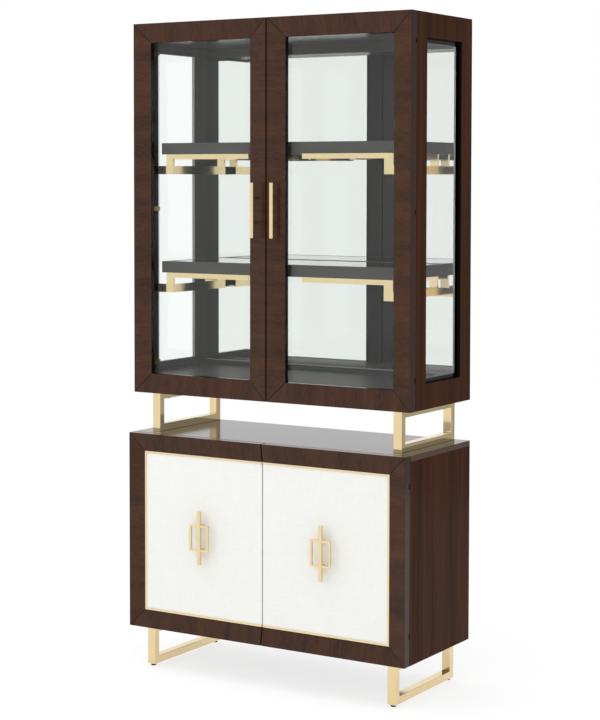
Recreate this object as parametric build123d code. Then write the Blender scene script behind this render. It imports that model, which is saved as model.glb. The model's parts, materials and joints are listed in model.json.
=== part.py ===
"""China cabinet: a glazed display case standing on two metal frames on a two-door base cabinet.

Frame: millimetres, +Z up, the doors face -Y, X runs along the width. The origin is the centre of
the footprint, on the floor. Each physical piece is written to parts/ as a solid of its own.
"""
from build123d import *
import os

os.makedirs("parts", exist_ok=True)

# Overall sizes
WIDTH = 1067.0            # both cases, 42 inches
DEPTH = 462.0             # rear plane to the front of the lower handles
HALF = WIDTH / 2
REAR = DEPTH / 2          # y of the rear plane
BOARD = 22.0              # thickness of sides and panels
LINING_T = 12.0           # thickness of the display floor and ceiling skins
DOOR_GAP = 3.0            # between a door and its case
MEETING_GAP = 5.0         # between two doors

# Levels above the floor
BASE_Z = 140.0            # underside of the base cabinet
BASE_TOP = 802.0          # top of the base cabinet
CASE_Z = 937.0            # underside of the display case
CASE_TOP = 2184.0         # top of the display case
FLOOR_Z = 1002.0          # display floor inside
CEILING_Z = 2120.0        # ceiling inside
SHELF_TOPS = {"lower": 1383.0, "upper": 1783.0}

# Front planes
CASE_FRONT = REAR - 378.0
BASE_FRONT = REAR - 410.0
CASE_DOOR_BACK = CASE_FRONT - DOOR_GAP
BASE_DOOR_BACK = BASE_FRONT - DOOR_GAP
CASE_DOOR_T = 34.0
BASE_DOOR_T = 32.0

# Door frames: the front face falls towards the inner edge
FRAME_W = 66.0
BASE_FRAME_W = 60.0
FRAME_DROP = 10.0
EASE = 1.2                # eased long edges
GROOVE = 1.1              # half width of the V groove along each mitre
MITRE_CUT = 50.0          # depth of the cut that shapes a member's ends
DOOR_W = (WIDTH - MEETING_GAP) / 2

# Glass, back and mirror
GLASS_T = 4.0
GLASS_PLAY = 0.5          # all round, between a pane and its rebate
REBATE = 8.0
DOOR_REBATE_D = 6.0
BEVEL_W = 28.0
BEVEL_D = 1.5
BACK_T = 6.0
BACK_INSET = 2.0
MIRROR_T = 4.0
MIRROR_FACE = REAR - BACK_INSET - BACK_T - MIRROR_T
LEDGE_PROUD = 2.0
LEDGES = {"bottom": (FLOOR_Z, FLOOR_Z + 17.0), "top": (CEILING_Z - 29.0, CEILING_Z)}

# Side windows
WINDOW_FRONT = REAR - 311.0
WINDOW_REAR = REAR - 73.0
WINDOW_Z = 1018.0
WINDOW_TOP = 2105.0
WINDOW_GLASS_IN = 12.0    # outer face of the side to the glass
BEAD_LIP = 15.0           # the glazing frame's reach into the window

# Shelves and their metal brackets
SHELF_T = 38.0
SHELF_HALF = 451.0
SHELF_FRONT = REAR - 365.0
SHELF_REAR = MIRROR_FACE - 3.0
SHELF_RIM = 36.0
BRACKET_X = 435.5         # outer face of the bracket's leg
LEG_W = 27.0
STRIP_T = 10.0
BAR_H = 17.0
BAR_END_X = 104.5
RAIL_H = 28.0
BRACKET_DROP = 67.0       # underside of the shelf to the foot of the leg
BRACKET_FRONT = SHELF_FRONT + 5.0
BRACKET_REAR = REAR - 45.0

# Riser and leg frames: closed loops of rectangular tube
TUBE_X = 30.0
TUBE_T = 25.0
LOOP_INSET = 50.0
RISER_Y = (CASE_FRONT + 2.0, REAR - 12.0)
LEG_Y = (REAR - 408.0, REAR - 12.0)
GLIDE_H = 7.0
GLIDE_R = 9.0
TUBE_EASE = 0.8
SCREW_R = 3.0
SCREW_HEAD_R = 5.5
SCREW_HEAD_H = 3.5
SCREW_GRIP = 15.0
SCREW_FROM_END = 70.0
FIT = 0.05                # radial clearance of pins and screws

# Hinges: a knuckle let into the rear outer corner of the door
PIN_IN = 4.0              # pin axis from the door's side and rear faces
PIN_R = 1.4
KNUCKLE_R = 3.6
HINGE_H = 16.0
NOTCH = 8.3
LEAF_T = 1.8
LEAF_REACH = 30.0
FLANGE_T = 2.0
FLANGE_L = 68.0
ARM_T = 10.0
ARM_L = 32.0
CASE_HINGES = (CASE_Z + 98.0, (CASE_Z + CASE_TOP) / 2, CASE_TOP - 93.0)
BASE_HINGES = (BASE_Z + 96.0, BASE_TOP - 96.0)

# Handles
BAR_L = 180.0
CASE_HANDLE_IN = 35.0     # meeting edge to the bar's centre
CASE_BAR = (12.5, 8.0)
CASE_HANDLE_FRONT = CASE_DOOR_BACK - 63.0
CASE_POST_R = 4.5
CASE_POST_Z = 40.0
BASE_HANDLE_X = 235.5
BASE_BAR = (12.0, 10.0)
LOOP_W = 75.0
LOOP_H = 88.0
LOOP_ROD = 7.0
BASE_POST_R = 4.0

# Base cabinet inside
TOP_T = 18.0
PANEL_T = 21.0
TRIM_W = 7.0
TRIM_T = 1.6
INNER_SHELF_Z = 480.0
INNER_SHELF_T = 18.0
PEG_R = 2.5
PEG_L = 9.0
PEG_IN = 60.0
INNER_SHELF_BACK = 25.0   # front of the case to the inner shelf's edge
MAGNET_R = 5.0
MAGNET_L = 10.0
MAGNET_PROUD = 2.0
MAGNET_XS = (-30.0, 30.0)
CASE_MAGNET_Z = CASE_TOP - 32.0


def block(x, y, z):
    """A box from three (low, high) pairs, given in either order."""
    low = [min(pair) for pair in (x, y, z)]
    size = [abs(pair[1] - pair[0]) for pair in (x, y, z)]
    return Pos(*low) * Box(*size, align=(Align.MIN, Align.MIN, Align.MIN))


def rod(start, direction, radius, length):
    """A round bar from a start point along a direction."""
    return extrude(Plane(origin=start, z_dir=direction) * Circle(radius), amount=length)


def prism(points, direction, length):
    """A flat outline pushed along a direction."""
    outline = Face(Wire.make_polygon([Vector(*point) for point in points], close=True))
    return extrude(outline, amount=length, dir=direction)


def mirrored(shape):
    """The same piece on the other side of the cabinet."""
    return mirror(shape, about=Plane.YZ)


def save(node, *solids):
    """Write one node; several solids are separate pieces of the same kind."""
    shape = solids[0] if len(solids) == 1 else Compound(children=list(solids))
    export_step(shape, f"parts/{node}.step")


def save_pair(name, shape):
    """Write a left piece and its mirror image; {} in the name takes the side."""
    save(name.format("left"), shape)
    save(name.format("right"), mirrored(shape))


# ---- Door frame members -------------------------------------------------------------------------

def frame_profile(width, thick, rebated):
    """Section of a frame member: across from the outer edge, then forward from the rear face."""
    inner = thick - FRAME_DROP
    points = [(0, 0), (0, thick - EASE), (EASE, thick), (width - EASE, inner + EASE * 0.2)]
    points.append((width, inner - EASE))
    if rebated:
        points += [(width, DOOR_REBATE_D), (width - REBATE, DOOR_REBATE_D), (width - REBATE, 0)]
    else:
        points.append((width, 0))
    return points


def stile(edge, side, back, z, width, profile):
    """Upright member, mitred at both ends: side is +1 where its width runs towards +X."""
    points = [(edge + side * across, back - forward, z[0]) for across, forward in profile]
    bar = prism(points, (0, 0, 1), z[1] - z[0])
    inner = edge + side * width
    shape = [(edge, z[0]), (inner, z[0] + width), (inner, z[1] - width), (edge, z[1])]
    return bar & prism([(x, back + 1, height) for x, height in shape], (0, -1, 0), MITRE_CUT)


def rail(x, level, up, back, width, profile, mitre_end=True):
    """Level member, mitred at x[0] and, if asked, at x[1]: up is +1 where its width runs upwards."""
    points = [(x[0], back - forward, level + up * across) for across, forward in profile]
    bar = prism(points, (1, 0, 0), x[1] - x[0])
    end = width if mitre_end else 0
    inner = level + up * width
    shape = [(x[0], level), (x[1], level), (x[1] - end, inner), (x[0] + width, inner)]
    return bar & prism([(across, back + 1, height) for across, height in shape], (0, -1, 0), MITRE_CUT)


def mitre_groove(corner_x, corner_z, side, up, front, width):
    """V groove down the sloping mitre from the outer corner to the inner one."""
    corner = Vector(corner_x, front, corner_z)
    run = Vector(side * width, FRAME_DROP, up * width)
    across = Vector(side * GROOVE, 0, -up * GROOVE)
    into = Vector(0, GROOVE, 0)
    points = [corner + across, corner + into, corner - across, corner - into]
    face = Face(Wire.make_polygon(points, close=True))
    return extrude(face, amount=run.length, dir=run.normalized())


def hinge_cutters(back, levels):
    """Notch for the knuckle and shallow recess for the leaf, at each hinge of a left door."""
    cutters = []
    for level in levels:
        tall = (level - HINGE_H / 2 - 0.5, level + HINGE_H / 2 + 0.5)
        notch = block((-HALF - 1, -HALF + NOTCH), (back - NOTCH, back + 1), tall)
        recess = block((-HALF + NOTCH - 1, -HALF + LEAF_REACH + 0.2), (back - LEAF_T - 0.05, back + 1), tall)
        cutters.append(notch + recess)
    return cutters


# ---- Display case -------------------------------------------------------------------------------

def panel_box(low, high, inner_low, inner_high):
    """Top or bottom of the case: two skins joined by a front strip, open behind the back panel."""
    inside = HALF - BOARD
    box = block((-inside, inside), (CASE_FRONT, REAR - BACK_INSET - BACK_T), (low, high))
    cavity = block((-inside, inside), (CASE_FRONT + BOARD, REAR), (inner_low, inner_high))
    return box - cavity


def case_top_and_bottom():
    """Built-up top and bottom with holes for the magnets and the riser screws."""
    top = panel_box(CEILING_Z, CASE_TOP, CEILING_Z + LINING_T, CASE_TOP - BOARD)
    bottom = panel_box(CASE_Z, FLOOR_Z, CASE_Z + BOARD, FLOOR_Z - LINING_T)
    for x in MAGNET_XS:
        top -= rod((x, CASE_FRONT, CASE_MAGNET_Z), (0, 1, 0), MAGNET_R + FIT, MAGNET_L)
    for x, y in screw_places(RISER_Y):
        bottom -= rod((x, y, CASE_Z), (0, 0, 1), SCREW_R + FIT, SCREW_GRIP)
    save("hutch_top_box", top)
    save("hutch_bottom_box", bottom)


def bevelled_glass(centre, size, axis):
    """A pane with ground bevels on its front face: axis points out of that face."""
    plane = Plane(origin=centre, x_dir=(0, 0, 1), z_dir=axis)
    height, width = size
    flat = extrude(plane * Rectangle(height, width), amount=GLASS_T - BEVEL_D)
    low = plane.offset(GLASS_T - BEVEL_D) * Rectangle(height, width)
    high = plane.offset(GLASS_T) * Rectangle(height - 2 * BEVEL_W, width - 2 * BEVEL_W)
    return flat + loft([low, high])


def side_panels():
    """Sides with a glazed window, rebated inside for the pane and its bead frame."""
    window_y = (WINDOW_FRONT, WINDOW_REAR)
    window_z = (WINDOW_Z, WINDOW_TOP)
    wide_y = (WINDOW_FRONT - REBATE, WINDOW_REAR + REBATE)
    wide_z = (WINDOW_Z - REBATE, WINDOW_TOP + REBATE)
    pane_x = -HALF + WINDOW_GLASS_IN
    side = block((-HALF, -HALF + BOARD), (CASE_FRONT, REAR), (CASE_Z, CASE_TOP))
    side -= block((-HALF - 1, -HALF + BOARD + 1), window_y, window_z)
    side -= block((pane_x, -HALF + BOARD + 1), wide_y, wide_z)
    save_pair("hutch_side_{}", side)

    size = (wide_z[1] - wide_z[0] - 2 * GLASS_PLAY, wide_y[1] - wide_y[0] - 2 * GLASS_PLAY)
    centre = (pane_x + GLASS_T, sum(wide_y) / 2, sum(wide_z) / 2)
    save_pair("hutch_side_glass_{}", bevelled_glass(centre, size, (-1, 0, 0)))

    bead_x = (pane_x + GLASS_T, -HALF + BOARD)
    clear_y = (WINDOW_FRONT + BEAD_LIP, WINDOW_REAR - BEAD_LIP)
    clear_z = (WINDOW_Z + BEAD_LIP, WINDOW_TOP - BEAD_LIP)
    bead = block(bead_x, wide_y, wide_z) - block((-HALF, 0), clear_y, clear_z)
    save("hutch_side_glass_beads", bead, mirrored(bead))


def case_back():
    """Back panel, mirror and the two ledges that hold it."""
    inside = HALF - BOARD
    panel_y = (REAR - BACK_INSET - BACK_T, REAR - BACK_INSET)
    save("hutch_back_panel", block((-inside, inside), panel_y, (CASE_Z, CASE_TOP)))
    mirror_z = (LEDGES["bottom"][1], LEDGES["top"][0])
    save("hutch_back_mirror", block((-inside, inside), (MIRROR_FACE, panel_y[0]), mirror_z))
    for name, levels in LEDGES.items():
        strip = block((-inside, inside), (MIRROR_FACE - LEDGE_PROUD, panel_y[0]), levels)
        save(f"hutch_mirror_ledge_{name}", strip)


def shelf(name, top):
    """Framed glass shelf."""
    outer = block((-SHELF_HALF, SHELF_HALF), (SHELF_FRONT, SHELF_REAR), (top - SHELF_T, top))
    hole_x = (-SHELF_HALF + SHELF_RIM, SHELF_HALF - SHELF_RIM)
    hole_y = (SHELF_FRONT + SHELF_RIM, SHELF_REAR - SHELF_RIM)
    seat_x = (hole_x[0] - REBATE, hole_x[1] + REBATE)
    seat_y = (hole_y[0] - REBATE, hole_y[1] + REBATE)
    seat_z = (top - GLASS_T, top + 1)
    rim = outer - block(hole_x, hole_y, (top - SHELF_T - 1, top + 1)) - block(seat_x, seat_y, seat_z)
    save(f"{name}_shelf_frame", rim)
    pane_x = (seat_x[0] + GLASS_PLAY, seat_x[1] - GLASS_PLAY)
    pane_y = (seat_y[0] + GLASS_PLAY, seat_y[1] - GLASS_PLAY)
    save(f"{name}_shelf_glass", block(pane_x, pane_y, (top - GLASS_T, top)))


def shelf_bracket(name, top):
    """Stepped strap under one end of a shelf: wall foot, leg and bar, in front and at the rear,
    joined by a rail along the foot."""
    under = top - SHELF_T
    foot = under - BRACKET_DROP
    leg_x = (-BRACKET_X, -BRACKET_X + LEG_W)
    strap = None
    for start in (BRACKET_FRONT, BRACKET_REAR - STRIP_T):
        y = (start, start + STRIP_T)
        bar = block((-BRACKET_X, -BAR_END_X), y, (under - BAR_H, under))
        leg = block(leg_x, y, (foot, under))
        wall = block((-HALF + BOARD, leg_x[1]), y, (foot, foot + RAIL_H))
        step = bar + leg + wall
        strap = step if strap is None else strap + step
    rail_x = (leg_x[1] - STRIP_T, leg_x[1])
    strap += block(rail_x, (BRACKET_FRONT, BRACKET_REAR), (foot, foot + RAIL_H))
    save_pair(name + "_shelf_bracket_{}", strap)


# ---- Display case doors -------------------------------------------------------------------------

def case_doors():
    """Two glazed doors with mitred, bevelled frames."""
    back = CASE_DOOR_BACK
    front = back - CASE_DOOR_T
    x = (-HALF, -HALF + DOOR_W)
    z = (CASE_Z, CASE_TOP)
    profile = frame_profile(FRAME_W, CASE_DOOR_T, True)
    grooves = [
        mitre_groove(corner_x, corner_z, side, up, front, FRAME_W)
        for corner_x, side in ((x[0], 1), (x[1], -1))
        for corner_z, up in ((z[0], 1), (z[1], -1))
    ]
    members = {
        "hinge_stile": stile(x[0], 1, back, z, FRAME_W, profile),
        "meeting_stile": stile(x[1], -1, back, z, FRAME_W, profile),
        "bottom_rail": rail(x, z[0], 1, back, FRAME_W, profile),
        "top_rail": rail(x, z[1], -1, back, FRAME_W, profile),
    }
    for cutter in hinge_cutters(back, CASE_HINGES):
        members["hinge_stile"] -= cutter
    for name, member in members.items():
        for groove in grooves:
            member -= groove
        save_pair("hutch_{}_door_" + name, member)

    wide = DOOR_W - 2 * (FRAME_W - REBATE) - 1
    tall = z[1] - z[0] - 2 * (FRAME_W - REBATE) - 1
    centre = (sum(x) / 2, back - DOOR_REBATE_D + GLASS_T, sum(z) / 2)
    save_pair("hutch_{}_door_glass", bevelled_glass(centre, (tall, wide), (0, -1, 0)))

    handle_x = x[1] - CASE_HANDLE_IN
    middle = sum(z) / 2
    bar_y = (CASE_HANDLE_FRONT, CASE_HANDLE_FRONT + CASE_BAR[1])
    bar_x = (handle_x - CASE_BAR[0] / 2, handle_x + CASE_BAR[0] / 2)
    handle = chamfer(block(bar_x, bar_y, (middle - BAR_L / 2, middle + BAR_L / 2)).edges(), TUBE_EASE)
    for level in (middle - CASE_POST_Z, middle + CASE_POST_Z):
        handle += rod((handle_x, bar_y[1] - 1, level), (0, 1, 0), CASE_POST_R, back - bar_y[1] - 5)
    save_pair("hutch_{}_door_handle", handle - stile(x[1], -1, back, z, FRAME_W, profile))


# ---- Hinges -------------------------------------------------------------------------------------

def hinge(back, front, level):
    """Case leaf, door leaf and pin of one hinge on a left side: the lower knuckle is the case's."""
    axis_x = -HALF + PIN_IN
    axis_y = back - PIN_IN
    low = level - HINGE_H / 2
    high = level + HINGE_H / 2
    lower = (low, level - 0.2)
    upper = (level + 0.2, high)
    bore = rod((axis_x, axis_y, low - 1), (0, 0, 1), PIN_R + FIT, HINGE_H + 2)

    case_leaf = rod((axis_x, axis_y, low), (0, 0, 1), KNUCKLE_R, lower[1] - low)
    case_leaf += block((axis_x - 1.2, axis_x + 2.6), (axis_y, front), lower)
    case_leaf += block((axis_x - 1.2, -HALF + BOARD + FLANGE_T), (front - LEAF_T, front), (low, high))
    wall = -HALF + BOARD
    case_leaf += block((wall, wall + FLANGE_T), (front - LEAF_T, front + FLANGE_L), (low, high))
    arm_y = (front + FLANGE_L - ARM_L, front + FLANGE_L)
    case_leaf += block((wall + FLANGE_T, wall + FLANGE_T + ARM_T), arm_y, (low + 0.5, high - 0.5))
    case_leaf -= bore

    door_leaf = rod((axis_x, axis_y, upper[0]), (0, 0, 1), KNUCKLE_R, high - upper[0])
    door_leaf += block((axis_x, -HALF + NOTCH - 0.1), (axis_y, back), upper)
    door_leaf += block((-HALF + NOTCH - 0.6, -HALF + LEAF_REACH), (back - LEAF_T, back), (low, high))
    door_leaf -= bore

    pin = rod((axis_x, axis_y, low + 0.3), (0, 0, 1), PIN_R, HINGE_H - 0.6)
    return case_leaf, door_leaf, pin


def hinges():
    """All the hinges, gathered by the piece that they are screwed to."""
    pins = []
    for case, levels, back, front in (
        ("hutch", CASE_HINGES, CASE_DOOR_BACK, CASE_FRONT),
        ("buffet", BASE_HINGES, BASE_DOOR_BACK, BASE_FRONT),
    ):
        sets = [hinge(back, front, level) for level in levels]
        case_leaves = [parts[0] for parts in sets]
        door_leaves = [parts[1] for parts in sets]
        left_pins = [parts[2] for parts in sets]
        save(f"{case}_hinge_case_leaves", *case_leaves, *[mirrored(leaf) for leaf in case_leaves])
        save(f"{case}_left_door_hinge_leaves", *door_leaves)
        save(f"{case}_right_door_hinge_leaves", *[mirrored(leaf) for leaf in door_leaves])
        pins += left_pins + [mirrored(pin) for pin in left_pins]
    save("hinge_pins", *pins)


# ---- Base cabinet -------------------------------------------------------------------------------

def peg_places():
    """Centres of the shelf pegs at the inside of the left side."""
    return [(y, INNER_SHELF_Z - PEG_R) for y in (BASE_FRONT + PEG_IN, REAR - PEG_IN)]


def base_case():
    """Base cabinet: overlaid top, sides, bottom, back and one adjustable shelf on pegs."""
    under_top = BASE_TOP - TOP_T
    inside = HALF - BOARD
    top = block((-HALF, HALF), (BASE_FRONT, REAR), (under_top, BASE_TOP))
    for x in MAGNET_XS:
        top -= rod((x, BASE_FRONT, BASE_TOP - TOP_T / 2), (0, 1, 0), MAGNET_R + FIT, MAGNET_L)
    save("buffet_top_panel", top)

    side = block((-HALF, -inside), (BASE_FRONT, REAR), (BASE_Z, under_top))
    for y, z in peg_places():
        side -= rod((-inside, y, z), (-1, 0, 0), PEG_R + FIT, PEG_L)
    save_pair("buffet_side_{}", side)

    bottom = block((-inside, inside), (BASE_FRONT, REAR - BACK_INSET - BACK_T), (BASE_Z, BASE_Z + BOARD))
    for x, y in screw_places(LEG_Y):
        bottom -= rod((x, y, BASE_Z), (0, 0, 1), SCREW_R + FIT, SCREW_GRIP)
    save("buffet_bottom_panel", bottom)
    back_y = (REAR - BACK_INSET - BACK_T, REAR - BACK_INSET)
    save("buffet_back_panel", block((-inside, inside), back_y, (BASE_Z, under_top)))

    shelf_y = (BASE_FRONT + INNER_SHELF_BACK, back_y[0] - 2)
    shelf_z = (INNER_SHELF_Z, INNER_SHELF_Z + INNER_SHELF_T)
    save("buffet_inner_shelf", block((-inside + 1, inside - 1), shelf_y, shelf_z))
    pegs = [rod((-inside - PEG_L, y, z), (1, 0, 0), PEG_R, 2 * PEG_L) for y, z in peg_places()]
    save("buffet_shelf_pegs", *pegs, *[mirrored(peg) for peg in pegs])


def base_doors():
    """Two panelled doors: framed on three sides, the white panel running to the meeting edge."""
    back = BASE_DOOR_BACK
    front = back - BASE_DOOR_T
    x = (-HALF, -HALF + DOOR_W)
    z = (BASE_Z, BASE_TOP)
    width = BASE_FRAME_W
    profile = frame_profile(width, BASE_DOOR_T, False)
    frame = stile(x[0], 1, back, z, width, profile)
    frame += rail(x, z[0], 1, back, width, profile, mitre_end=False)
    frame += rail(x, z[1], -1, back, width, profile, mitre_end=False)
    for cutter in hinge_cutters(back, BASE_HINGES):
        frame -= cutter
    for corner_z, up in ((z[0], 1), (z[1], -1)):
        frame -= mitre_groove(x[0], corner_z, 1, up, front, width)
    save_pair("buffet_{}_door_frame", frame)

    panel_x = (x[0] + width, x[1])
    panel_z = (z[0] + width, z[1] - width)
    panel_front = back - PANEL_T
    save_pair("buffet_{}_door_panel", block(panel_x, (panel_front, back), panel_z))
    trim_y = (panel_front - TRIM_T, panel_front)
    clear = block((panel_x[0] + TRIM_W, x[1] + 1), trim_y, (panel_z[0] + TRIM_W, panel_z[1] - TRIM_W))
    save_pair("buffet_{}_door_trim", block(panel_x, trim_y, panel_z) - clear)

    middle = sum(z) / 2
    bar_y = (-REAR, -REAR + BASE_BAR[1])
    bar_x = (-BASE_HANDLE_X - BASE_BAR[0] / 2, -BASE_HANDLE_X + BASE_BAR[0] / 2)
    bar = chamfer(block(bar_x, bar_y, (middle - BAR_L / 2, middle + BAR_L / 2)).edges(), TUBE_EASE)
    loop_y = (sum(bar_y) / 2 - LOOP_ROD / 2, sum(bar_y) / 2 + LOOP_ROD / 2)
    loop_x = (-BASE_HANDLE_X - LOOP_W / 2, -BASE_HANDLE_X + LOOP_W / 2)
    hole_x = (loop_x[0] + LOOP_ROD, loop_x[1] - LOOP_ROD)
    loop = block(loop_x, loop_y, (middle - LOOP_H / 2, middle + LOOP_H / 2))
    loop -= block(hole_x, bar_y, (middle - LOOP_H / 2 + LOOP_ROD, middle + LOOP_H / 2 - LOOP_ROD))
    handle = bar + loop
    post_z = (LOOP_H - LOOP_ROD) / 2
    for level in (middle - post_z, middle + post_z):
        start = (-BASE_HANDLE_X, bar_y[1] - 1, level)
        handle += rod(start, (0, 1, 0), BASE_POST_R, panel_front - bar_y[1] + 1)
    save_pair("buffet_{}_door_handle", handle)


def magnets():
    """Round door magnets, let into the front edges above the doors' meeting stiles."""
    places = [(x, CASE_FRONT, CASE_MAGNET_Z) for x in MAGNET_XS]
    places += [(x, BASE_FRONT, BASE_TOP - TOP_T / 2) for x in MAGNET_XS]
    save("door_magnets", *[
        rod((x, y - MAGNET_PROUD, z), (0, 1, 0), MAGNET_R, MAGNET_L + MAGNET_PROUD - 0.5)
        for x, y, z in places
    ])


# ---- Metal frames -------------------------------------------------------------------------------

def screw_places(span):
    """Plan positions of the screws through the top bars of one pair of loops."""
    x = HALF - LOOP_INSET - TUBE_X / 2
    return [(side * x, y) for side in (-1, 1) for y in (span[0] + SCREW_FROM_END, span[1] - SCREW_FROM_END)]


def tube_loop(y, z):
    """Closed upright loop on the left: the tube's inside is left solid."""
    x = (-HALF + LOOP_INSET, -HALF + LOOP_INSET + TUBE_X)
    hole = block((x[0] - 1, x[1] + 1), (y[0] + TUBE_T, y[1] - TUBE_T), (z[0] + TUBE_T, z[1] - TUBE_T))
    loop = chamfer((block(x, y, z) - hole).edges(), TUBE_EASE)
    for place_x, place_y in screw_places(y)[:2]:
        loop -= rod((place_x, place_y, z[1] - TUBE_T - 1), (0, 0, 1), SCREW_R + FIT, TUBE_T + 2)
    return loop


def metal_frames():
    """Riser loops, leg loops, their screws and the floor glides."""
    save_pair("riser_frame_{}", tube_loop(RISER_Y, (BASE_TOP, CASE_Z)))
    save_pair("leg_frame_{}", tube_loop(LEG_Y, (GLIDE_H, BASE_Z)))

    screws = []
    for span, level in ((RISER_Y, CASE_Z), (LEG_Y, BASE_Z)):
        under = level - TUBE_T
        for x, y in screw_places(span):
            head = rod((x, y, under), (0, 0, -1), SCREW_HEAD_R, SCREW_HEAD_H)
            screws.append(head + rod((x, y, under), (0, 0, 1), SCREW_R, TUBE_T + SCREW_GRIP - 1))
    save("frame_screws", *screws)

    glide_x = HALF - LOOP_INSET - TUBE_X / 2
    glide_y = (LEG_Y[0] + TUBE_T / 2, LEG_Y[1] - TUBE_T / 2)
    save("floor_glides", *[
        rod((side * glide_x, y, 0), (0, 0, 1), GLIDE_R, GLIDE_H) for side in (-1, 1) for y in glide_y
    ])


case_top_and_bottom()
side_panels()
case_back()
for shelf_name, shelf_top in SHELF_TOPS.items():
    shelf(shelf_name, shelf_top)
    shelf_bracket(shelf_name, shelf_top)
case_doors()
hinges()
base_case()
base_doors()
magnets()
metal_frames()
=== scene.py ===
import json
import math

import bpy
import numpy as np
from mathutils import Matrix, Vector


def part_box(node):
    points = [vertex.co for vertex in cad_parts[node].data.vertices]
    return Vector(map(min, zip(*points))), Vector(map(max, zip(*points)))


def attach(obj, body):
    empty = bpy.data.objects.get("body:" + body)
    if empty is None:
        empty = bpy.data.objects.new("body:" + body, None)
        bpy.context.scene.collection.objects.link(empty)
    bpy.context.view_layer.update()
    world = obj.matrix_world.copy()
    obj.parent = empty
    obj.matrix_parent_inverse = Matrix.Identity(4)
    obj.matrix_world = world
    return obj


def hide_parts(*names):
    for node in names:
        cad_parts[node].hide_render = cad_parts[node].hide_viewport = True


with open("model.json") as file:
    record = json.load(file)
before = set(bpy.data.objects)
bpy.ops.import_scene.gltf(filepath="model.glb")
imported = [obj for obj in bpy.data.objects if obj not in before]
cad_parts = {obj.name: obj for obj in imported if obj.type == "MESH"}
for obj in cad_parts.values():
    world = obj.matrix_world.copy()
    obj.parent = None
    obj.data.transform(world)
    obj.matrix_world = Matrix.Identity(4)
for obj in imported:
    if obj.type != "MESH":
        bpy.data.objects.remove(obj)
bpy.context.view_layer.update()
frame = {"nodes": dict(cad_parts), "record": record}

# ---- Camera -------------------------------------------------------------------------------------
# A long lens a little above the middle of the cabinet, to the right of its front, with the view
# slid down so that the uprights stay nearly parallel.

view = bpy.data.cameras.new("view")
view.lens = 92.3
view.shift_y = -0.13
camera = bpy.data.objects.new("view", view)
camera.location = (3.254, -5.209, 1.665)
camera.rotation_euler = (math.radians(90 - 2.734), -0.0015, math.radians(31.865))
bpy.context.scene.collection.objects.link(camera)
bpy.context.scene.camera = camera
bpy.context.scene.view_settings.view_transform = "Standard"

# ---- Studio -------------------------------------------------------------------------------------
# A white sweep lit evenly from all round and from above. Past the cabinet's right rear the studio
# is dimmer, for reflections and fill only, so that the sides stay dark and the gold has contrast.

WHITE = 1.0
DIM = 0.45
DIM_TOWARDS = Vector((0.527, 0.85, 0.0))
DIM_FADE = (0.60, 0.88)   # cosines of the angle to that direction where dimming starts and ends
FLOOR_GLOW = 0.74         # a translucent sweep lit from below, so that shadows on it stay faint
FLOOR_PAINT = 0.28
FLOOR_RADIUS = 9.0
FLOOR_CENTRE = (-2.0, -4.5)


def linear(code):
    """Linear RGBA of an sRGB hex colour: each channel has the sRGB curve undone."""
    channels = [int(code[place:place + 2], 16) / 255 for place in (1, 3, 5)]
    return [c / 12.92 if c <= 0.04045 else ((c + 0.055) / 1.055) ** 2.4 for c in channels] + [1.0]


def add_node(tree, kind, settings, inputs):
    """Add one shader node: settings are its properties, inputs its sockets by name or number,
    each given a value or the output that feeds it."""
    made = tree.nodes.new("ShaderNode" + kind)
    for name, value in settings.items():
        setattr(made, name, value)
    for key, value in inputs.items():
        if isinstance(value, bpy.types.NodeSocket):
            tree.links.new(value, made.inputs[key])
        else:
            made.inputs[key].default_value = value
    return made


studio = bpy.data.worlds.new("studio")
studio.use_nodes = True
bpy.context.scene.world = studio
tree = studio.node_tree
tree.nodes.clear()
direction = add_node(tree, "TexCoord", {}, {}).outputs["Generated"]
towards = add_node(tree, "VectorMath", {"operation": "DOT_PRODUCT"}, {0: direction, 1: DIM_TOWARDS})
dimmed = add_node(tree, "MapRange", {"interpolation_type": "SMOOTHSTEP"},
                  {"Value": towards.outputs["Value"], "From Min": DIM_FADE[0],
                   "From Max": DIM_FADE[1], "To Min": WHITE, "To Max": DIM})
path = add_node(tree, "LightPath", {}, {})
seen = add_node(tree, "Math", {"operation": "MAXIMUM"}, {
    0: path.outputs["Is Camera Ray"], 1: path.outputs["Is Transmission Ray"]}).outputs[0]
level = add_node(tree, "Mix", {"data_type": "FLOAT"},
                 {0: seen, 2: dimmed.outputs["Result"], 3: WHITE})
sky = add_node(tree, "Background", {}, {"Color": (1, 1, 1, 1), "Strength": level.outputs[0]})
add_node(tree, "OutputWorld", {}, {"Surface": sky.outputs[0]})


def disc(name, radius, centre):
    """Flat round mesh: one fan of 96 points at an even angle round the centre."""
    angle = np.linspace(0, 2 * np.pi, 96, endpoint=False)
    x = centre[0] + radius * np.cos(angle)
    y = centre[1] + radius * np.sin(angle)
    rim = np.stack([x, y, 0 * angle], 1)
    mesh = bpy.data.meshes.new(name)
    mesh.from_pydata(rim.tolist(), [], [list(range(96))])
    return bpy.data.objects.new(name, mesh)


floor = disc("floor", FLOOR_RADIUS, FLOOR_CENTRE)
bpy.context.scene.collection.objects.link(floor)
paint = bpy.data.materials.new("white sweep paint")
paint.use_nodes = True
for name, value in {"Base Color": (FLOOR_PAINT, FLOOR_PAINT, FLOOR_PAINT, 1), "Roughness": 0.9,
                    "Specular IOR Level": 0.0, "Emission Color": (1, 1, 1, 1),
                    "Emission Strength": FLOOR_GLOW}.items():
    paint.node_tree.nodes["Principled BSDF"].inputs[name].default_value = value
floor.data.materials.append(paint)


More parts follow.
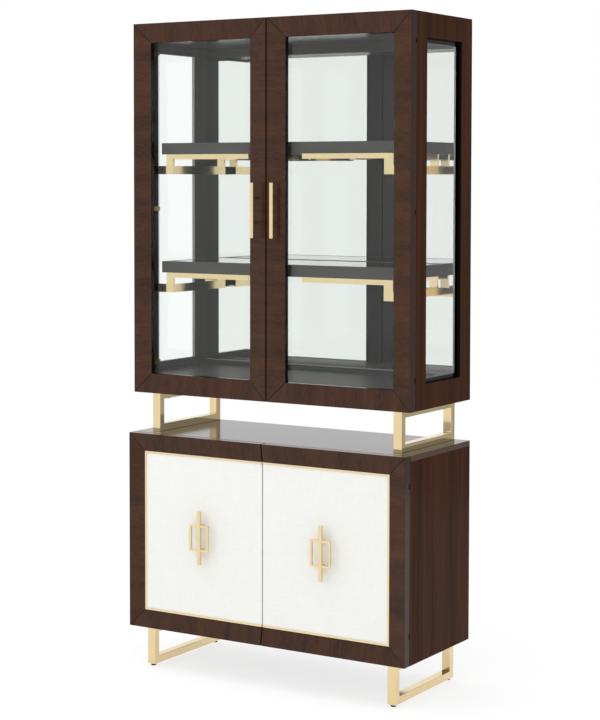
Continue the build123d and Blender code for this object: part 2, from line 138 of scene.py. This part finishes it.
def softbox(name, place, aim, size, watts):
    """A square area light at a place, turned to face a point, kept out of the reflections."""
    lamp = bpy.data.lights.new(name, "AREA")
    lamp.size = size
    lamp.energy = watts
    lamp_object = bpy.data.objects.new(name, lamp)
    lamp_object.location = place
    lamp_object.rotation_euler = (Vector(aim) - Vector(place)).to_track_quat("-Z", "Y").to_euler()
    lamp_object.visible_glossy = False
    lamp_object.visible_transmission = False
    bpy.context.scene.collection.objects.link(lamp_object)


softbox("overhead", (-0.6, -1.2, 5.2), (0, -0.2, 0), 4.5, 80)
softbox("key", (-2.6, -4.2, 3.4), (0, 0, 1.0), 0.9, 16)

# ---- Veneered case parts and door frames --------------------------------------------------------
# Quarter-cut sapele veneer over board, stained dark red-brown and sprayed with satin lacquer. Its
# grain runs across the stiles, up the rails and up the sides. Faces turned inwards are charcoal.

LIGHT_STREAK = "#4d2e1e"
BROWN = "#3d2416"
DARK_STREAK = "#291811"
EDGE_SHADE = "#120e0c"          # painted shade: near black in the window reveals, door lips, mitre grooves and shelf ends
DOOR_EDGE_SHADE = "#2e160a"     # painted shade on the doors' outer edges, darker than their faces
CHARCOAL = "#5a5a56"
STREAK = 0.004            # spacing of the fine grain across its run
BAND = 0.045              # spacing of the broad light and dark bands
PORE = 0.0009             # spacing of the open pores, which dull the lacquer and dimple it
MITRE = 0.0016            # half width of the mitre line darkened with painted shade
SKIN = 0.0006             # how far a masked face is caught in front of its plane
FRONT_REFLECT = 0.2       # specular levels of the lacquer: satin on the doors,
SIDE_REFLECT = 0.02       # nearly matt on the sides,
BASE_SIDE_REFLECT = 0.015
POLISHED_REFLECT = 0.5    # and full gloss on the base cabinet's top
FAR = 1.0                 # stands for an edge that a door frame doesn't have


def shader_of(material):
    """The Principled shader of a material that uses nodes."""
    return material.node_tree.nodes["Principled BSDF"]


def set_constants(material, constants):
    """Put plain numbers and colours on the Principled shader's own sockets."""
    for name, value in constants.items():
        shader_of(material).inputs[name].default_value = value


def calc(tree, operation, first, second=0.0):
    """The output of one Math node."""
    return add_node(tree, "Math", {"operation": operation}, {0: first, 1: second}).outputs[0]


def overpaint(material, mask, colour):
    """Lay a colour over whatever feeds the base colour so far, where the mask is 1."""
    socket = shader_of(material).inputs["Base Color"]
    under = socket.links[0].from_socket
    mixed = add_node(material.node_tree, "Mix", {"data_type": "RGBA"}, {0: mask, 6: under, 7: colour})
    material.node_tree.links.new(mixed.outputs[2], socket)


def streaks(tree, grain, spacing, stretch, detail):
    """Noise drawn out along the grain: one wave to `spacing` across it, `stretch` times as long
    along it."""
    point = add_node(tree, "TexCoord", {}, {}).outputs["Object"]
    scale = [1 / spacing] * 3
    scale["XYZ".index(grain)] = 1 / (spacing * stretch)
    placed = add_node(tree, "Mapping", {}, {"Vector": point, "Scale": scale})
    return add_node(tree, "TexNoise", {}, {
        "Vector": placed.outputs[0], "Scale": 1.0, "Detail": detail, "Roughness": 0.6,
    }).outputs["Fac"]


def veneer(tree, grain):
    """Colour of the stained veneer: fine streaks and broad bands along the grain."""
    fine = streaks(tree, grain, STREAK, 120, 2.0)
    broad = streaks(tree, grain, BAND, 25, 2.0)
    both = add_node(tree, "Mix", {"data_type": "FLOAT"}, {0: 0.55, 2: fine, 3: broad})
    ramp = add_node(tree, "ValToRGB", {}, {"Fac": both.outputs[0]})
    ramp.color_ramp.elements[0].position = 0.31
    ramp.color_ramp.elements[0].color = linear(DARK_STREAK)
    ramp.color_ramp.elements[1].position = 0.71
    ramp.color_ramp.elements[1].color = linear(LIGHT_STREAK)
    ramp.color_ramp.elements.new(0.5).color = linear(BROWN)
    return ramp.outputs["Color"]


def sapele(name, grain, reflect, smooth):
    """Lacquered veneer: reflect is the specular level, smooth the lacquer's lowest roughness,
    which the open pores raise."""
    material = bpy.data.materials.new(name)
    material.use_nodes = True
    tree = material.node_tree
    tree.links.new(veneer(tree, grain), shader_of(material).inputs["Base Color"])
    pores = streaks(tree, grain, PORE, 30, 1.0)
    gloss = add_node(tree, "MapRange", {}, {"Value": pores, "To Min": smooth, "To Max": smooth + 0.1})
    tree.links.new(gloss.outputs["Result"], shader_of(material).inputs["Roughness"])
    relief = add_node(tree, "Bump", {}, {"Strength": 0.06, "Distance": 0.0002, "Height": pores})
    tree.links.new(relief.outputs["Normal"], shader_of(material).inputs["Normal"])
    set_constants(material, {"Specular IOR Level": reflect})
    return material


def position(material):
    """The x, y and z sockets of the point being shaded, in metres."""
    point = add_node(material.node_tree, "TexCoord", {}, {}).outputs["Object"]
    parts = add_node(material.node_tree, "SeparateXYZ", {}, {"Vector": point})
    return [parts.outputs[axis] for axis in "XYZ"]


def paint_past(material, value, test, limit, code):
    """Lay a colour where the value is past the limit: test is LESS_THAN or GREATER_THAN."""
    overpaint(material, calc(material.node_tree, test, value, limit), linear(code))


def outwards(material):
    """Distance of the point from the cabinet's middle plane."""
    return calc(material.node_tree, "ABSOLUTE", position(material)[0])


def dress(material, *nodes):
    """Give CAD nodes a material in place of the ones they were packed with."""
    for name in nodes:
        for slot in frame["nodes"][name].material_slots:
            slot.material = material


case_low, case_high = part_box("hutch_side_left")
half = -case_low.x
inner_x = -case_high.x

# Nearly matt lacquer with the grain upright. The windows' reveals are painted near black as painted
# shade, and the four edges of each side board are plain brown.
case_sides = sapele("sapele, sides of the display case", "Z", SIDE_REFLECT, 0.16)
y, z = position(case_sides)[1:]
# Painted shade: the window reveals are painted near black.
paint_past(case_sides, outwards(case_sides), "LESS_THAN", half - SKIN, EDGE_SHADE)
paint_past(case_sides, outwards(case_sides), "LESS_THAN", inner_x + SKIN, CHARCOAL)
for value, low, high in ((y, case_low.y, case_high.y), (z, case_low.z, case_high.z)):
    paint_past(case_sides, value, "LESS_THAN", low + SKIN, BROWN)
    paint_past(case_sides, value, "GREATER_THAN", high - SKIN, BROWN)
dress(case_sides, "hutch_side_left", "hutch_side_right")

base_sides = sapele("sapele, sides of the base cabinet", "Z", BASE_SIDE_REFLECT, 0.14)
paint_past(base_sides, outwards(base_sides), "LESS_THAN", inner_x + SKIN, CHARCOAL)
dress(base_sides, "buffet_side_left", "buffet_side_right")

# The case's top and bottom are veneered outside and charcoal inside. The base's top is polished,
# so seen low across it mirrors the studio and the riser frames.
roof = sapele("sapele, top of the display case", "X", 0.4, 0.12)
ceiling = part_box("hutch_top_box")[0].z
paint_past(roof, position(roof)[2], "LESS_THAN", ceiling + SKIN, CHARCOAL)
dress(roof, "hutch_top_box")
case_floor = sapele("sapele, bottom of the display case", "X", 0.16, 0.4)
display_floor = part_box("hutch_bottom_box")[1].z
paint_past(case_floor, position(case_floor)[2], "GREATER_THAN", display_floor - SKIN, CHARCOAL)
dress(case_floor, "hutch_bottom_box")
dress(sapele("sapele, top of the base cabinet", "X", POLISHED_REFLECT, 0.08), "buffet_top_panel")


def edge_distances(material, low, high):
    """Distances of the point from the nearer side edge and the nearer top or bottom edge of a
    door with these corners, or of its twin across the middle."""
    tree = material.node_tree
    z = position(material)[2]
    away = outwards(material)
    across = calc(tree, "MINIMUM", calc(tree, "SUBTRACT", -low.x, away),
                  calc(tree, "ADD", away, high.x))
    up = calc(tree, "MINIMUM", calc(tree, "SUBTRACT", z, low.z), calc(tree, "SUBTRACT", high.z, z))
    return across, up


def finish_member(material, across, up, lip, back):
    """Paint shade on the mitre line, the lip round the opening and the hinge edge, as painted
    shade, and lacquer the back charcoal."""
    tree = material.node_tree
    apart = calc(tree, "ABSOLUTE", calc(tree, "SUBTRACT", across, up))
    # Painted shade: the mitre line, the lip and the doors' outer edges are painted dark.
    paint_past(material, apart, "LESS_THAN", MITRE, EDGE_SHADE)
    overpaint(material, lip, linear(EDGE_SHADE))
    paint_past(material, outwards(material), "GREATER_THAN", half - SKIN, DOOR_EDGE_SHADE)
    paint_past(material, position(material)[1], "GREATER_THAN", back - SKIN, CHARCOAL)


# Satin lacquer over grain that turns a corner at each mitre, as veneer is laid on such frames.
door_low, hinge_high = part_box("hutch_left_door_hinge_stile")
door_high = Vector((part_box("hutch_left_door_meeting_stile")[1].x, hinge_high.y, hinge_high.z))
frame_width = hinge_high.x - door_low.x
stiles = sapele("sapele, grain across the stiles", "X", FRONT_REFLECT, 0.12)
across, up = edge_distances(stiles, door_low, door_high)
finish_member(stiles, across, up,
              calc(stiles.node_tree, "GREATER_THAN", across, frame_width - SKIN), door_high.y)
rails = sapele("sapele, grain up the rails", "Z", FRONT_REFLECT, 0.12)
across, up = edge_distances(rails, door_low, door_high)
finish_member(rails, across, up,
              calc(rails.node_tree, "GREATER_THAN", up, frame_width - SKIN), door_high.y)
for side in ("left", "right"):
    dress(stiles, f"hutch_{side}_door_hinge_stile", f"hutch_{side}_door_meeting_stile")
    dress(rails, f"hutch_{side}_door_top_rail", f"hutch_{side}_door_bottom_rail")

BASE_FRAME_W = 0.060      # face width of the base door's stile and rails
base_low, base_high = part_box("buffet_left_door_frame")
base_frame = sapele("sapele, base door frames", "X", FRONT_REFLECT, 0.12)
tree = base_frame.node_tree
reach = Vector((base_high.x + FAR, base_high.y, base_high.z))
across, up = edge_distances(base_frame, base_low, reach)
overpaint(base_frame, calc(tree, "GREATER_THAN", across, up), veneer(tree, "Z"))
nearer = calc(tree, "MINIMUM", across, up)
finish_member(base_frame, across, up,
              calc(tree, "GREATER_THAN", nearer, BASE_FRAME_W - SKIN), base_high.y)
dress(base_frame, "buffet_left_door_frame", "buffet_right_door_frame")

# ---- Charcoal interior --------------------------------------------------------------------------
# Board lacquered matt charcoal grey on every face that shows through the glass. The glazing
# frames inside the side windows sit behind the glass's ground margin; behind the pane they are painted
# pale grey-green as painted light, and the margin's inner edge carries a painted highlight line.


def charcoal_lacquer(name):
    """Charcoal spray lacquer with a faint cloudiness."""
    material = bpy.data.materials.new(name)
    material.use_nodes = True
    tree = material.node_tree
    point = add_node(tree, "TexCoord", {}, {}).outputs["Object"]
    cloud = add_node(tree, "TexNoise", {}, {"Vector": point, "Scale": 40.0, "Detail": 3.0})
    tone = add_node(tree, "Mix", {"data_type": "RGBA"},
                    {0: cloud.outputs["Fac"], 6: linear("#585753"), 7: linear("#5e5d59")})
    tree.links.new(tone.outputs[2], shader_of(material).inputs["Base Color"])
    gloss = add_node(tree, "MapRange", {},
                     {"Value": cloud.outputs["Fac"], "To Min": 0.45, "To Max": 0.55})
    tree.links.new(gloss.outputs["Result"], shader_of(material).inputs["Roughness"])
    set_constants(material, {"Specular IOR Level": 0.15})
    return material


dress(charcoal_lacquer("charcoal lacquer, sprayed"),
      "hutch_back_panel", "hutch_mirror_ledge_top",
      "buffet_bottom_panel", "buffet_back_panel", "buffet_inner_shelf")

# Painted shade: the shelf frames' ends are painted near black.
shelf_wood = charcoal_lacquer("charcoal shelf frames, painted shade on the ends")
shelf_end = -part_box("upper_shelf_frame")[0].x
paint_past(shelf_wood, outwards(shelf_wood), "GREATER_THAN", shelf_end - SKIN, EDGE_SHADE)
dress(shelf_wood, "upper_shelf_frame", "lower_shelf_frame")
# Painted highlight: a pale line along the ledge's top arris.
ledge = charcoal_lacquer("charcoal mirror ledge with a bright top arris")
ledge_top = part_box("hutch_mirror_ledge_bottom")[1].z
paint_past(ledge, position(ledge)[2], "GREATER_THAN", ledge_top - 2 * SKIN, "#d0d3cf")
dress(ledge, "hutch_mirror_ledge_bottom")

MARGIN = 0.015            # width of the glazing frame inside the window
HIGHLIGHT_LINE = 0.0018             # width of the painted highlight line at the margin's inner edge
OVERLAP = 0.0075          # how far the pane runs into its rebate
beads = charcoal_lacquer("charcoal glazing frames with painted light")
tree = beads.node_tree
y, z = position(beads)[1:]
window_low, window_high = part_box("hutch_side_glass_left")
inward = calc(tree, "MINIMUM",
              calc(tree, "MINIMUM", calc(tree, "SUBTRACT", y, window_low.y + OVERLAP),
                   calc(tree, "SUBTRACT", window_high.y - OVERLAP, y)),
              calc(tree, "MINIMUM", calc(tree, "SUBTRACT", z, window_low.z + OVERLAP),
                   calc(tree, "SUBTRACT", window_high.z - OVERLAP, z)))
pane_inner = -window_high.x
# Painted light: pale grey-green where the frames lie behind the pane.
paint_past(beads, outwards(beads), "GREATER_THAN", pane_inner - SKIN, "#8f9891")
# Painted highlight: a bright line along the edge of the opening.
paint_past(beads, inward, "GREATER_THAN", MARGIN - HIGHLIGHT_LINE, "#c4c8c3")
dress(beads, "hutch_side_glass_beads")

# ---- Gold metalwork -----------------------------------------------------------------------------
# Welded steel tube and bar, polished and plated pale gold. The hinges are brass inside the case
# and painted dark brown where their knuckles show at the doors' outer corners, as painted shade.


def plated(name, dark, light, smooth):
    """Polished plate: two near tones smeared together, with roughness rising 0.07 over them."""
    material = bpy.data.materials.new(name)
    material.use_nodes = True
    tree = material.node_tree
    point = add_node(tree, "TexCoord", {}, {}).outputs["Object"]
    smear = add_node(tree, "TexNoise", {}, {"Vector": point, "Scale": 18.0, "Detail": 4.0})
    tone = add_node(tree, "Mix", {"data_type": "RGBA"},
                    {0: smear.outputs["Fac"], 6: linear(dark), 7: linear(light)})
    tree.links.new(tone.outputs[2], shader_of(material).inputs["Base Color"])
    gloss = add_node(tree, "MapRange", {}, {"Value": smear.outputs["Fac"],
                                            "To Min": smooth, "To Max": smooth + 0.07})
    tree.links.new(gloss.outputs["Result"], shader_of(material).inputs["Roughness"])
    set_constants(material, {"Metallic": 1.0})
    return material


# Mirror-bright gold shows what faces it. The hinge brass is duller, and the trim is satin, which
# spreads the studio's white into an even champagne line.
gold = plated("pale gold plate, polished", "#e1ca9b", "#ebd6aa", 0.05)
brass = plated("hinge brass, painted shade outside", "#e0bd7c", "#ecd09a", 0.15)
# Painted shade: the knuckles outside the case are painted dark brown.
paint_past(brass, outwards(brass), "GREATER_THAN", inner_x + SKIN, "#3d2f24")
champagne = plated("champagne trim, satin", "#e4cfa6", "#ecdab6", 0.3)
for part in frame["record"]["subparts"]:
    if part["material_slot"] == "gold_metal":
        node = part["node"]
        if "hinge" in node:
            dress(brass, node)
        elif "trim" in node:
            dress(champagne, node)
        else:
            dress(gold, node)

# ---- Glass --------------------------------------------------------------------------------------
# Clear float glass, 4 mm, with ground and polished bevels. The back of the display case carries a
# silvered pane.

# Smooth and all but colourless, with a weak reflection.
glass = bpy.data.materials.new("clear float glass")
glass.use_nodes = True
set_constants(glass, {"Base Color": linear("#fcfefd"), "Roughness": 0.0, "IOR": 1.32,
                      "Transmission Weight": 1.0})
dress(glass, "hutch_side_glass_left", "hutch_side_glass_right", "upper_shelf_glass",
      "lower_shelf_glass", "hutch_left_door_glass", "hutch_right_door_glass")

# A perfect reflection, a little darker than what it shows.
silver = bpy.data.materials.new("silvered mirror glass")
silver.use_nodes = True
set_constants(silver, {"Base Color": linear("#eceeec"), "Metallic": 1.0, "Roughness": 0.0})


def bevelled_pane(name, low, high, bevel, fall):
    """A closed pane between two corners. Its front is a field inside a sloping margin: each outer
    corner lies `fall` behind the field and `bevel` outside it; its back is flat."""
    x = (low.x, low.x + bevel, high.x - bevel, high.x)
    z = (low.z, low.z + bevel, high.z - bevel, high.z)
    outline = [(0, 0), (3, 0), (3, 3), (0, 3)]
    field = [(1, 1), (2, 1), (2, 2), (1, 2)]
    points = [(x[i], low.y + fall, z[k]) for i, k in outline]
    points += [(x[i], low.y, z[k]) for i, k in field]
    points += [(x[i], high.y, z[k]) for i, k in outline]
    faces = [(4, 5, 6, 7), (11, 10, 9, 8)]
    for i in range(4):
        j = (i + 1) % 4
        faces += [(i, j, 4 + j, 4 + i), (8 + i, 8 + j, j, i)]
    mesh = bpy.data.meshes.new(name)
    mesh.from_pydata(points, [], faces)
    pane = bpy.data.objects.new(name, mesh)
    bpy.context.scene.collection.objects.link(pane)
    return pane


MIRROR_BEVEL = 0.012
BEVEL_FALL = 0.0012
mirror_low, mirror_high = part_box("hutch_back_mirror")
mirror = bevelled_pane("back_mirror_bevelled", mirror_low, mirror_high, MIRROR_BEVEL, BEVEL_FALL)
mirror.data.materials.append(silver)
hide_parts("hutch_back_mirror")
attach(mirror, "cabinet")

# ---- White panels -------------------------------------------------------------------------------
# Door panels wrapped in white vinyl embossed like linen: warp and weft threads of uneven weight.

THREAD = 0.0022           # spacing of the threads
linen = bpy.data.materials.new("white linen-textured vinyl")
linen.use_nodes = True
tree = linen.node_tree
warp = streaks(tree, "Z", THREAD, 18, 2.0)
weft = streaks(tree, "X", THREAD, 18, 2.0)
weave = add_node(tree, "Mix", {"data_type": "FLOAT"}, {0: 0.5, 2: warp, 3: weft})
tone = add_node(tree, "ValToRGB", {}, {"Fac": weave.outputs[0]})
tone.color_ramp.elements[0].position = 0.35
tone.color_ramp.elements[0].color = linear("#e5e5e1")
tone.color_ramp.elements[1].position = 0.6
tone.color_ramp.elements[1].color = linear("#ebebe7")
tree.links.new(tone.outputs["Color"], shader_of(linen).inputs["Base Color"])
relief = add_node(tree, "Bump", {}, {"Strength": 0.12, "Distance": 0.0004, "Height": weave.outputs[0]})
tree.links.new(relief.outputs["Normal"], shader_of(linen).inputs["Normal"])
set_constants(linen, {"Roughness": 0.55, "Specular IOR Level": 0.2})
dress(linen, "buffet_left_door_panel", "buffet_right_door_panel")

# ---- Small steel and plastic parts --------------------------------------------------------------
# Zinc-plated pins, screws and pegs and magnets in steel cups, all bright and slightly blurred. The
# levelling glides and door bumpers are dark nylon with a dull sheen.

zinc = bpy.data.materials.new("zinc-plated steel")
zinc.use_nodes = True
set_constants(zinc, {"Base Color": linear("#b9bbbd"), "Metallic": 1.0, "Roughness": 0.3})
dress(zinc, "hinge_pins", "frame_screws", "door_magnets", "buffet_shelf_pegs")
nylon = bpy.data.materials.new("dark moulded nylon")
nylon.use_nodes = True
set_constants(nylon, {"Base Color": linear("#3a302a"), "Roughness": 0.5})
dress(nylon, "floor_glides")


def turned(name, profile, places, axis, material):
    """Turned pieces in one mesh: a profile of (radius, height) pairs swept round in 32 equal
    steps, stood at each place with its height along the axis. The profile starts and ends at
    radius 0 and is listed from the axis outwards over the lower face, then back over the top."""
    steps = 32
    angle = np.arange(steps) * 2 * np.pi / steps
    lift = Vector(axis)
    one = lift.orthogonal().normalized()
    two = lift.cross(one)
    points = []
    faces = []
    for place_at in places:
        first = len(points)
        for radius, height in profile[1:-1]:
            for a in angle:
                around = one * math.cos(a) + two * math.sin(a)
                points.append(Vector(place_at) + lift * height + around * radius)
        rings = len(profile) - 2
        for ring in range(rings - 1):
            for i in range(steps):
                j = (i + 1) % steps
                base = first + ring * steps
                faces.append((base + i, base + j, base + steps + j, base + steps + i))
        faces.append([first + i for i in reversed(range(steps))])
        faces.append([first + (rings - 1) * steps + i for i in range(steps)])
    mesh = bpy.data.meshes.new(name)
    mesh.from_pydata(points, [], faces)
    made = bpy.data.objects.new(name, mesh)
    made.data.materials.append(material)
    bpy.context.scene.collection.objects.link(made)
    return made


# Levelling glides: a moulded pad with eased edges on a short stem, one under each leg's corner.
glide_low, glide_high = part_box("floor_glides")
GLIDE_R = 0.009
tall = glide_high.z - glide_low.z
GLIDE_PROFILE = [(0, 0), (0.0080, 0), (GLIDE_R, 0.0010), (GLIDE_R, 0.0030), (0.0075, 0.0042),
                 (0.0046, 0.0044), (0.0046, tall), (0, tall)]
corners = [(side * (glide_high.x - GLIDE_R), depth, 0.0) for side in (-1, 1)
           for depth in (glide_low.y + GLIDE_R, glide_high.y - GLIDE_R)]
glides = turned("levelling_glides", GLIDE_PROFILE, corners, (0, 0, 1), nylon)
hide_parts("floor_glides")
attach(glides, "cabinet")

# Pan-head screws that hold the back board, up both of its long edges and across top and bottom.
HEAD_PROFILE = [(0, 0), (0.0040, 0), (0.0037, 0.0006), (0.0022, 0.0011), (0, 0.0011)]
SCREW_IN = 0.010          # back board's edge to the screws
board_low, board_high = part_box("hutch_back_panel")
places = [(x_at, board_high.y, z_at)
          for x_at in (board_low.x + SCREW_IN, board_high.x - SCREW_IN)
          for z_at in np.linspace(board_low.z + 3 * SCREW_IN, board_high.z - 3 * SCREW_IN, 7)]
places += [(x_at, board_high.y, z_at)
           for x_at in np.linspace(board_low.x, board_high.x, 7)[1:-1]
           for z_at in (board_low.z + SCREW_IN, board_high.z - SCREW_IN)]
board_screws = turned("back_board_screws", HEAD_PROFILE, places, (0, 1, 0), zinc)
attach(board_screws, "cabinet")

# Door bumpers stuck to the front of the display case, above and below the doors' openings.
BUMPER_PROFILE = [(0, 0), (0.0045, 0), (0.0045, 0.0008), (0.0035, 0.0016), (0, 0.0016)]
BUMPER_X = 0.060
roof_low, roof_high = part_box("hutch_top_box")
sill_low, sill_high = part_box("hutch_bottom_box")
places = [(side * BUMPER_X, low.y, (low.z + high.z) / 2) for side in (-1, 1)
          for low, high in ((roof_low, roof_high), (sill_low, sill_high))]
bumpers = turned("door_bumpers", BUMPER_PROFILE, places, (0, -1, 0), nylon)
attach(bumpers, "cabinet")
